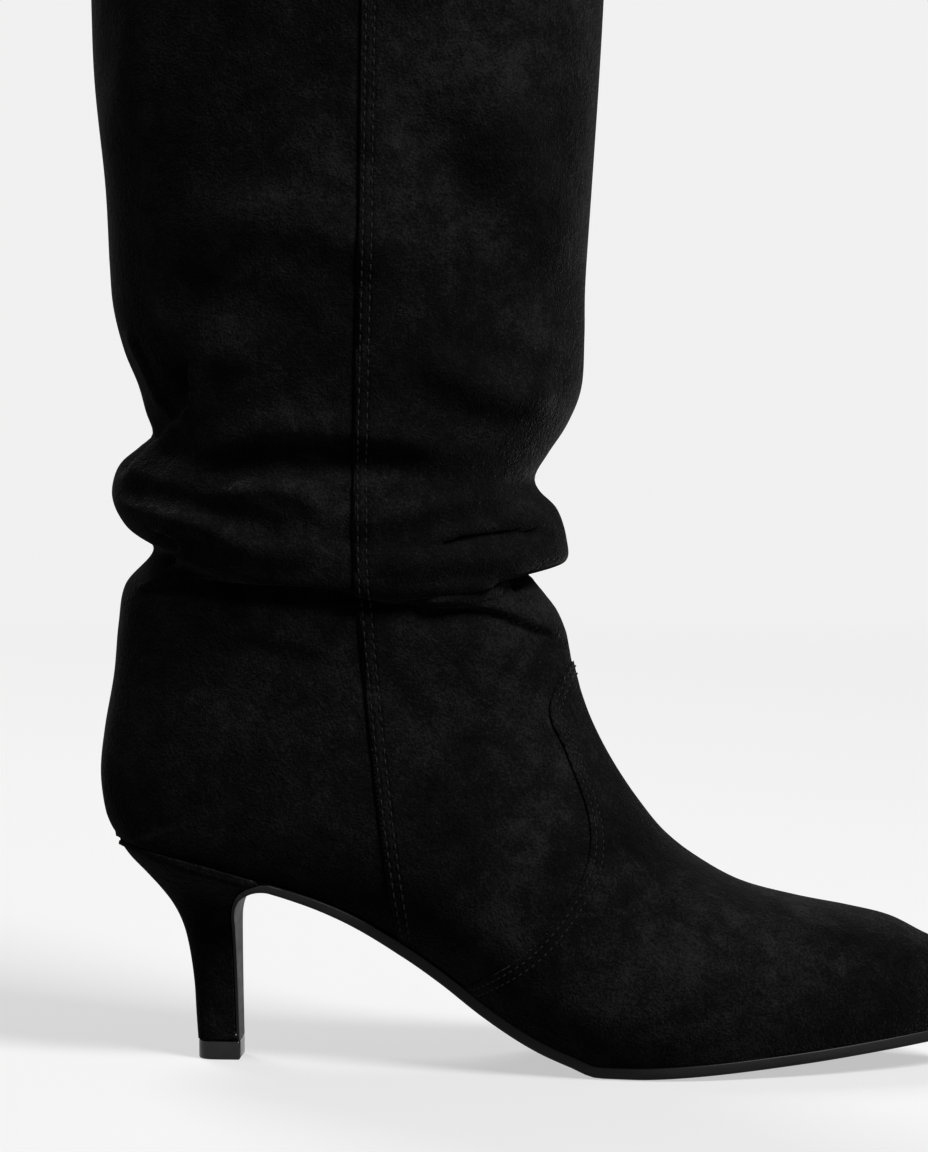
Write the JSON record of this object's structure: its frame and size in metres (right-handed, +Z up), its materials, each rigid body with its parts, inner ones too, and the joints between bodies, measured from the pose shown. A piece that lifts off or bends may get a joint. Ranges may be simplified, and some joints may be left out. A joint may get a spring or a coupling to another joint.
{
  "type": "slouch boot",
  "caption": "Tall right-foot slouch boot in black suede, with soft folds at the ankle, a pointed toe, a stitched vamp and side seam, a thin sole and a slim kitten heel.",
  "frame": {"origin": "middle of the heel tip's flat underside, on the floor", "axes": "+X forwards to the toe, +Y to the inner side of the foot, +Z up"},
  "size_m": [0.2453, 0.1104, 0.4001],
  "materials": {
    "suede": "black suede, matt, with a fine short nap",
    "sock": "plain dark sock leather, matt",
    "sole_leather": "black sole leather, satin",
    "heel_tip": "hard black plastic, glossy"
  },
  "bodies": {
    "root": {"upper": "suede", "vamp": "suede", "insole": "sock", "outsole": "sole_leather", "heel": "suede", "top_lift": "heel_tip"}
  },
  "joints": []
}
